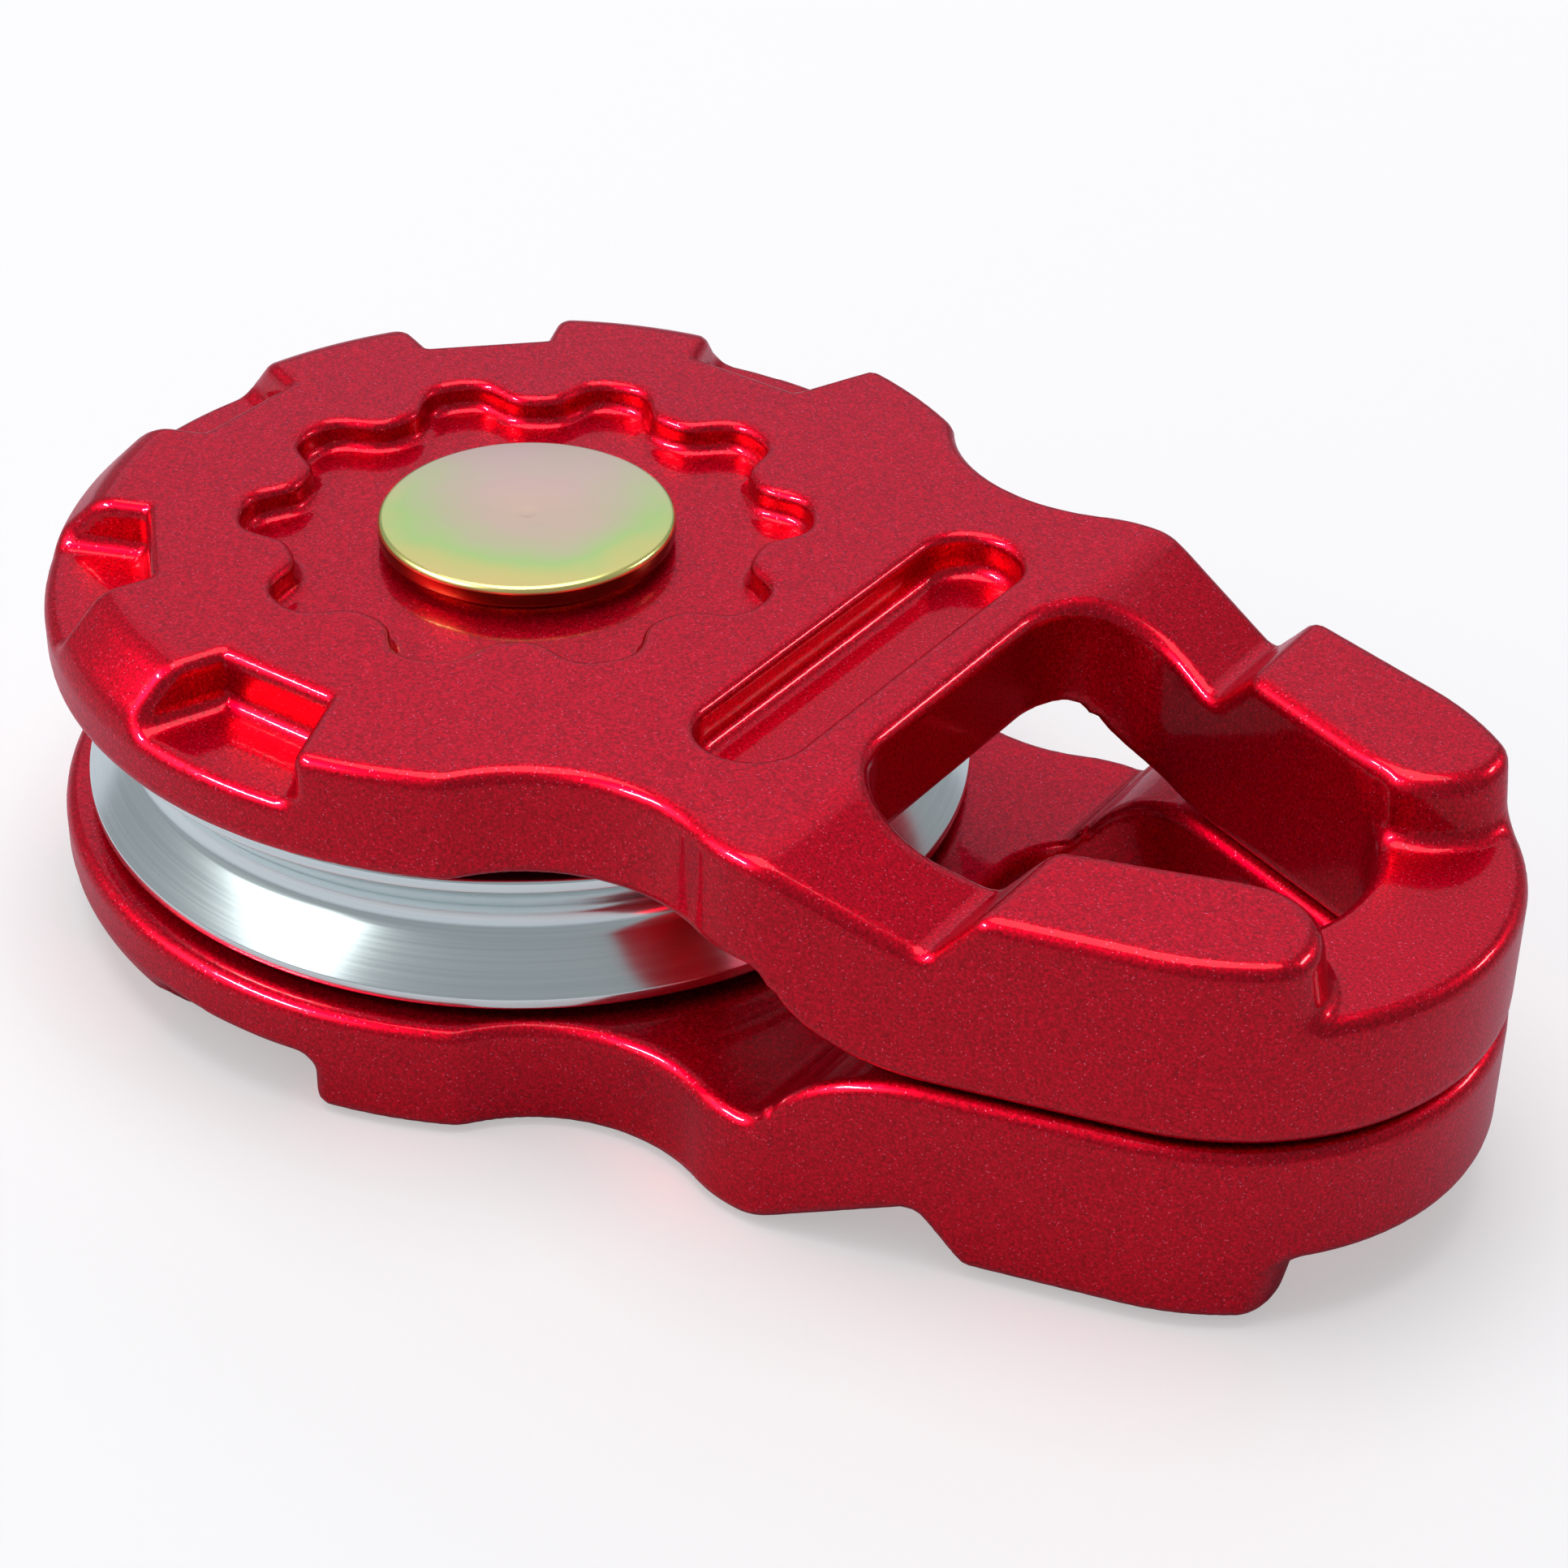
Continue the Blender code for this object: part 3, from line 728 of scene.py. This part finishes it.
def turnedSurface(name, profile, closed, turns, **rest):
    # (radius cos, radius sin, height) for a profile of (radius, height) carried round the axis; the UV
    # map holds millimetres round the rim and along the profile
    profile = np.asarray(profile, float)
    rows = len(profile)
    angles = np.arange(turns) * 2 * math.pi / turns
    points = np.stack([
        profile[:, 0, None] * np.cos(angles),
        profile[:, 0, None] * np.sin(angles),
        np.broadcast_to(profile[:, 1, None], (rows, turns)),
    ], axis=-1).reshape(-1, 3)
    last = rows if closed else rows - 1
    i, j = np.meshgrid(np.arange(last), np.arange(turns), indexing="ij")
    after = (i + 1) % rows
    beside = (j + 1) % turns
    low = i * turns
    high = after * turns
    faces = np.stack([low + j, low + beside, high + beside, high + j], axis=-1).reshape(-1, 4)
    made = makeObject(name, points, faces, **rest)
    mesh = made.data
    steps = np.diff(np.vstack([profile, profile[:1]]), axis=0)
    along = np.concatenate([[0], np.cumsum(np.hypot(*steps.T))])
    reach = profile[:, 0].max()
    u = np.stack([j, j + 1, j + 1, j], axis=-1) * 2 * math.pi * reach / turns
    v = along[np.stack([i, i, i + 1, i + 1], axis=-1)]
    layer = mesh.uv_layers.new(name="turned")
    if len(mesh.loops) == u.size:
        layer.data.foreach_set("uv", np.stack([u, v], axis=-1).reshape(-1))
    if not closed:
        data = bmesh.new()
        data.from_mesh(mesh)
        bmesh.ops.remove_doubles(data, verts=data.verts, dist=1e-6)
        data.to_mesh(mesh)
        data.free()
    return made


def roundedProfile(points, radii):
    # (radius, height) corners with their edges rolled
    return roundedCorners(np.asarray(points, float), radii)


sheave = {
    "radius": 54.0,
    "width": 17.7,
    "grooveRadius": 3.5,
    "grooveDepth": 5.4,
    "rimLand": 1.0,
    "edge": 0.5,
    "bore": 14.66,
    "rolled": (0.4, 0.5, 0.35),     # edges at the bore, at the rim and at the groove's lip
    "turns": 256,               # steps round the axis
}


def sheaveProfile():
    # flat sides, narrow rim lands, and straight flanks that touch a round groove floor
    half = sheave["width"] / 2
    lip = half - sheave["edge"] - sheave["rimLand"]
    outer = sheave["radius"]
    centre = (outer - sheave["grooveDepth"] + sheave["grooveRadius"], 0.0)
    start = tangentNormal(centre, sheave["grooveRadius"], (outer, -lip), 0.0)
    floor = arcPoints(centre, sheave["grooveRadius"], start, -360 - start, 0.3)
    corners = [[sheave["bore"], -half], [outer, -half], [outer, -lip], *floor.tolist(),
               [outer, lip], [outer, half], [sheave["bore"], half]]
    rolled = list(sheave["rolled"])
    radii = rolled + [0] * len(floor) + rolled[::-1]
    return roundedProfile(corners, radii)


pin = {
    "radius": 11.0,
    "headRadius": 17.7,
    "headThickness": 2.6,
    "collarRadius": 15.5,
    "footRadius": 14.0,
    "footThickness": 1.5,
    "footEdge": 0.45,
    "rolled": (0.3, 0.15, 0.15, 0.15, 0.2, 0.4),    # edges from the foot's top up to the head's underside
    "headEdge": 0.8,
    "dimple": (1.3, 0.15, 1.0),     # the lathe's centre mark: radius, depth and its rounded rim
    "footWasherRadius": 17.7,
    "footWasherEdge": 0.25,
    "seat": 0.3,                # clearance of the collar and of the foot washer
    "turns": 256,
    "footWasherTurns": 160,
}


def pinProfile():
    # riveted foot, plain shank, collar and flat round head
    overall = 2 * cheek["thickness"] + cheek["gap"]
    collar = overall - cheek["pocketDepth"] + pin["seat"]
    head = overall - pin["headThickness"]
    markRadius, markDepth, markEdge = pin["dimple"]
    corners = [[0.0, 0.0], [pin["footRadius"], 0.0], [pin["footRadius"], pin["footThickness"]],
               [pin["radius"], pin["footThickness"]], [pin["radius"], collar], [pin["collarRadius"], collar],
               [pin["collarRadius"], head], [pin["headRadius"], head], [pin["headRadius"], overall],
               [markRadius, overall], [0.0, overall - markDepth]]
    return roundedProfile(corners, [0, pin["footEdge"], *pin["rolled"], pin["headEdge"], markEdge, 0])


def washerProfile(inner, outer, low, high, edge):
    # a flat ring with four rolled edges
    return roundedProfile([[inner, low], [outer, low], [outer, high], [inner, high]], [edge] * 4)


coatMaterial = makeRedCoat()
steelMaterial = makeTurnedSteel()
zincMaterial = makeYellowZinc()
bronzeMaterial = makeBronze()
print("materials made")

castPoints, castFaces, castNormals = castingMesh()
print("casting:", len(castPoints), "corners,", len(castFaces), "faces")
upperPoints = castPoints + (0, 0, cheek["thickness"] + cheek["gap"])
upper = makeObject("upperCheek", upperPoints, castFaces, "upper_cheek", "red_coat", coatMaterial,
                   ["upper_cheek_plate"])
lowerPoints = castPoints * (1, -1, -1) + (0, 0, cheek["thickness"])
lower = makeObject("lowerCheek", lowerPoints, castFaces, "lower_cheek", "red_coat", coatMaterial,
                   ["lower_cheek_plate"])
for made, turn in ((upper, (1, 1, 1)), (lower, (1, -1, -1))):
    if len(made.data.vertices) == len(castNormals):
        made.data.normals_split_custom_set_from_vertices((castNormals * turn).tolist())

middle = cheek["thickness"] + cheek["gap"] / 2
turnedSurface("ropeSheave", sheaveProfile() + (0, middle), True, sheave["turns"], body="sheave_wheel",
              slotName="turned_steel", material=steelMaterial, nodes=["sheave"])
turnedSurface("axlePin", pinProfile(), False, pin["turns"], body="lower_cheek",
              slotName="yellow_zinc", material=zincMaterial, nodes=["axle_pin"])
washerLow = pin["footThickness"] + pin["seat"]
washerHigh = cheek["pocketDepth"] - pin["seat"]
footWasher = washerProfile(cheek["bore"], pin["footWasherRadius"], washerLow, washerHigh,
                           pin["footWasherEdge"])
turnedSurface("footWasher", footWasher, True, pin["footWasherTurns"], body="lower_cheek",
              slotName="yellow_zinc", material=zincMaterial, nodes=["foot_washer"])
for name in ("sheave_bush", "upper_thrust_washer", "lower_thrust_washer"):
    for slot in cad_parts[name].material_slots:
        slot.material = bronzeMaterial
print("turned pieces made")

studio = {
    "world": "#eef0f6",
    "worldStrength": 0.38,
    "floor": "#ffffff",
    "floorMirrored": "#d8d8dc",    # what the coat and the metals reflect of it
    "backdrop": "#ffffff",         # what the camera sees past the floor, and as its glow
    "floorGlow": 0.42,     # share of that glow in the floor near the block
    "floorFade": (0.12, 0.6),      # metres from the axis over which that share grows to all of it
    "floorReach": 4.0,
    "floorDrop": 0.0003,
    "aim": (0.035, 0.0, 0.02),     # the point that every lamp faces
    # name, azimuth, elevation, distance, width, height, watts, colour, and whether it lights matt surfaces
    "lamps": [
        ("strokeBox", -129.0, 42.0, 1.0, 0.34, 0.09, 11.5, "#ffffff", False),
        ("topPanel", 150.0, 84.0, 1.1, 0.8, 0.8, 7.0, "#ffffff", True),
        ("frontLeftPanel", -130.0, 38.0, 1.2, 1.0, 0.6, 2.0, "#ffffff", True),
        ("rightBox", 50.0, 28.0, 1.0, 0.16, 0.1, 1.2, "#ffffff", False),
        ("backPanel", 124.0, 36.0, 1.2, 1.4, 0.8, 2.0, "#ebe0ff", True),
    ],
}


def addLamp(name, azimuth, elevation, distance, width, height, power, colour, lightsMatt):
    # a soft box on a sphere round the block, turned to face it; a glint lamp lights nothing matt
    data = bpy.data.lights.new(name, "AREA")
    data.shape = "RECTANGLE"
    data.size = width
    data.size_y = height
    data.energy = power
    data.color = hexColour(colour)[:3]
    made = bpy.data.objects.new(name, data)
    bpy.context.scene.collection.objects.link(made)
    az = math.radians(azimuth)
    el = math.radians(elevation)
    back = np.array([math.cos(az) * math.cos(el), math.sin(az) * math.cos(el), math.sin(el)])
    right = np.array([-math.sin(az), math.cos(az), 0.0])
    matrix = Matrix(np.column_stack([right, np.cross(back, right), back]).tolist()).to_4x4()
    matrix.translation = back * distance + studio["aim"]
    made.matrix_world = matrix
    made.visible_diffuse = lightsMatt


def makeWorld():
    # pale light from all round, which the camera sees as the backdrop
    world = bpy.data.worlds.new("studio")
    bpy.context.scene.world = world
    world.use_nodes = True
    tree = world.node_tree
    back = tree.nodes["Background"]
    path = addNode(tree, "ShaderNodeLightPath")
    strength = addNode(tree, "ShaderNodeMapRange", {"To Min": studio["worldStrength"], "To Max": 1.0},
                       {"Value": (path, "Is Camera Ray")})
    sky = addNode(tree, "ShaderNodeMixRGB",
                  {"Color1": hexColour(studio["world"]), "Color2": hexColour(studio["backdrop"])},
                  {"Fac": (path, "Is Camera Ray")})
    tree.links.new(sky.outputs["Color"], back.inputs["Color"])
    tree.links.new(strength.outputs[0], back.inputs["Strength"])


def makePaper():
    # matt white paper that keeps the shadow near the block and glows white further off
    material, tree, shader = newMaterial("paperFloor")
    tree.nodes.remove(shader)
    path = addNode(tree, "ShaderNodeLightPath")
    colour = addNode(tree, "ShaderNodeMixRGB",
                     {"Color1": hexColour(studio["floor"]), "Color2": hexColour(studio["floorMirrored"])},
                     {"Fac": (path, "Is Glossy Ray")})
    paper = addNode(tree, "ShaderNodeBsdfDiffuse", links={"Color": (colour, "Color")})
    glow = addNode(tree, "ShaderNodeEmission", {"Color": hexColour(studio["backdrop"]), "Strength": 1.0})
    place = addNode(tree, "ShaderNodeTexCoord")
    away = addNode(tree, "ShaderNodeVectorMath", links={0: (place, "Object")}, operation="LENGTH")
    near, far = studio["floorFade"]
    fade = addNode(tree, "ShaderNodeMapRange",
                   {"From Min": near, "From Max": far, "To Min": studio["floorGlow"]},
                   {"Value": (away, "Value")})
    share = addNode(tree, "ShaderNodeMath", links={0: (path, "Is Camera Ray"), 1: (fade, 0)},
                    operation="MULTIPLY")
    mix = addNode(tree, "ShaderNodeMixShader", links={"Fac": (share, 0), 1: (paper, 0), 2: (glow, 0)})
    tree.links.new(mix.outputs[0], tree.nodes["Material Output"].inputs["Surface"])
    return material


def makeStudio():
    makeWorld()
    reach = studio["floorReach"]
    corners = [(-reach, -reach, 0), (reach, -reach, 0), (reach, reach, 0), (-reach, reach, 0)]
    mesh = bpy.data.meshes.new("floor")
    mesh.from_pydata(corners, [], [(0, 1, 2, 3)])
    mesh.materials.append(makePaper())
    floor = bpy.data.objects.new("floor", mesh)
    floor.location.z = -studio["floorDrop"]
    bpy.context.scene.collection.objects.link(floor)
    for lamp in studio["lamps"]:
        addLamp(*lamp)
    bpy.context.scene.view_settings.view_transform = "Standard"


makeCamera()
makeStudio()
print("camera, floor and lamps made")
